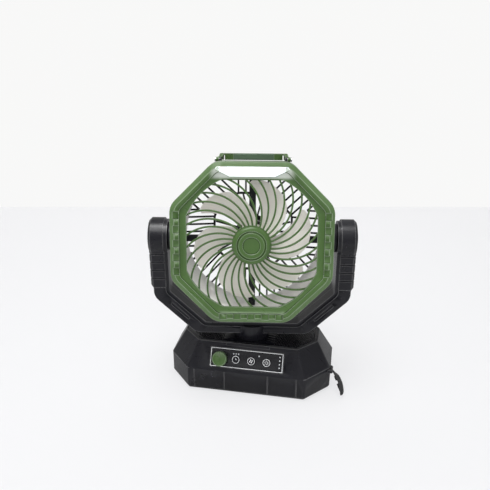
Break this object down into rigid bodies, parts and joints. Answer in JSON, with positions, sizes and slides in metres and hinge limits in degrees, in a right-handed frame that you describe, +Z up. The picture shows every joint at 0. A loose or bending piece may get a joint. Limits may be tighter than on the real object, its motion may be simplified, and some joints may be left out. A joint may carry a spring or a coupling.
{
  "type": "portable camping fan",
  "caption": "Portable fan with a lamp: an octagonal head with a folding handle tilts in a yoke that sways on a battery base with a knob, push buttons and charging sockets.",
  "frame": {"origin": "on the ground under the sway axis of the yoke, which is the middle of the whole fan from left to right and within 2 mm of its middle from front to back", "axes": "+X to the right of someone in front of the fan, +Y away from them, +Z up; the base is aligned with the axes, the head is turned 8.5 degrees towards +X and looks up 11.6 degrees at rest"},
  "size_m": [0.2812, 0.1498, 0.3341],
  "materials": {
    "black_plastic": "fine moulded grain, satin",
    "cap_plastic": "smooth, semi-gloss",
    "green_plastic": "fine moulded grain, satin army green",
    "grip_plastic": "soft touch, dark green",
    "panel_plastic": "smooth with a printed silver border",
    "button_plastic": "smooth with printed white rings",
    "indicator_plastic": "clear light pipes",
    "lens_plastic": "opal white, glossy",
    "duct_plastic": "light warm grey moulding",
    "rubber": "soft, matt",
    "board": "green circuit board",
    "component": "moulded component bodies",
    "led": "yellow phosphor",
    "cell_sleeve": "cells in shrink sleeves",
    "plated_steel": "zinc plated",
    "winding": "laminated core with copper winding",
    "magnet": "sintered magnet",
    "gear_plastic": "natural acetal"
  },
  "bodies": {
    "base": {"base_upper_shell": "black_plastic", "base_bottom_cover": "black_plastic", "rubber_feet": "rubber", "bottom_screws": "plated_steel", "top_plate": "black_plastic", "control_panel": "panel_plastic", "indicator_lights": "indicator_plastic", "control_board": "board", "button_switches": "component", "potentiometer": "component", "battery_cells": "cell_sleeve", "battery_tray": "component", "power_board": "board", "charging_sockets": "plated_steel", "turntable_bearing": "component", "sway_motor": "plated_steel"},
    "knob": {"speed_knob": "green_plastic"},
    "timer_key": {"timer_button": "button_plastic"},
    "fan_key": {"fan_button": "button_plastic"},
    "light_key": {"light_button": "button_plastic"},
    "socket_flap": {"port_cover": "rubber"},
    "pinion": {"sway_pinion": "gear_plastic"},
    "yoke": {"yoke_front": "black_plastic", "yoke_rear": "black_plastic", "arm_cover_left": "black_plastic", "arm_cover_right": "black_plastic", "yoke_hub": "black_plastic", "sway_gear": "gear_plastic", "retaining_clip": "plated_steel", "friction_washers": "plated_steel", "pivot_caps": "cap_plastic", "yoke_screws": "plated_steel"},
    "head": {"front_frame": "green_plastic", "lamp_lens": "lens_plastic", "lamp_board": "board", "lamp_leds": "led", "front_grille": "green_plastic", "hub_cap": "green_plastic", "air_duct": "duct_plastic", "motor_mount": "black_plastic", "mount_screws": "plated_steel", "motor_can": "plated_steel", "motor_end_bell": "plated_steel", "motor_bearings": "plated_steel", "motor_stator": "winding", "rear_shell": "black_plastic", "rear_grille": "black_plastic", "trunnion_left": "black_plastic", "trunnion_right": "black_plastic", "trunnion_nuts": "plated_steel", "handle_brackets": "black_plastic", "handle_pins": "plated_steel"},
    "handle": {"carry_handle": "green_plastic", "handle_grip": "grip_plastic"},
    "rotor": {"fan_rotor": "duct_plastic", "motor_shaft": "plated_steel", "magnet_rotor": "magnet", "rotor_nut": "plated_steel"}
  },
  "joints": [
    {"name": "sway", "type": "hinge", "parent": "base", "child": "yoke", "pos_m": [0, 0, 0.1], "axis": [0, 0, 1], "range_deg": [-53.5, 36.5]},
    {"name": "sway_pinion_turn", "type": "hinge", "parent": "base", "child": "pinion", "pos_m": [0, 0.03015, 0.055], "axis": [0, 0, 1], "range_deg": [-146, 214]},
    {"name": "tilt", "type": "hinge", "parent": "yoke", "child": "head", "pos_m": [0, 0, 0.222], "axis": [0.989, 0.1478, 0], "range_deg": [-78.4, 41.6]},
    {"name": "fan_spin", "type": "hinge", "parent": "head", "child": "rotor", "pos_m": [0, 0, 0.222], "axis": [0.1448, -0.9688, 0.2011], "continuous": true},
    {"name": "handle_fold", "type": "hinge", "parent": "head", "child": "handle", "pos_m": [-0.00395, 0.02642, 0.32228], "axis": [0.989, 0.1478, 0], "range_deg": [0, 95]},
    {"name": "knob_turn", "type": "hinge", "parent": "base", "child": "knob", "pos_m": [-0.0368, -0.04451, 0.0521], "axis": [0, 0.8844, -0.4668], "range_deg": [0, 280]},
    {"name": "timer_press", "type": "slide", "parent": "base", "child": "timer_key", "axis": [0, 0.8844, -0.4668], "range_m": [0, 0.0005], "stiffness_N_per_m": 900, "springref_m": -0.0006},
    {"name": "fan_press", "type": "slide", "parent": "base", "child": "fan_key", "axis": [0, 0.8844, -0.4668], "range_m": [0, 0.0005], "stiffness_N_per_m": 900, "springref_m": -0.0006},
    {"name": "light_press", "type": "slide", "parent": "base", "child": "light_key", "axis": [0, 0.8844, -0.4668], "range_m": [0, 0.0005], "stiffness_N_per_m": 900, "springref_m": -0.0006},
    {"name": "flap_lift", "type": "hinge", "parent": "base", "child": "socket_flap", "pos_m": [0.1174, -0.015, 0.032], "axis": [0, -1, 0], "range_deg": [-3, 85], "stiffness_Nm_per_rad": 0.02}
  ],
  "couplings": [
    {"joint": "sway_pinion_turn", "follows": "sway", "ratio": -4}
  ]
}
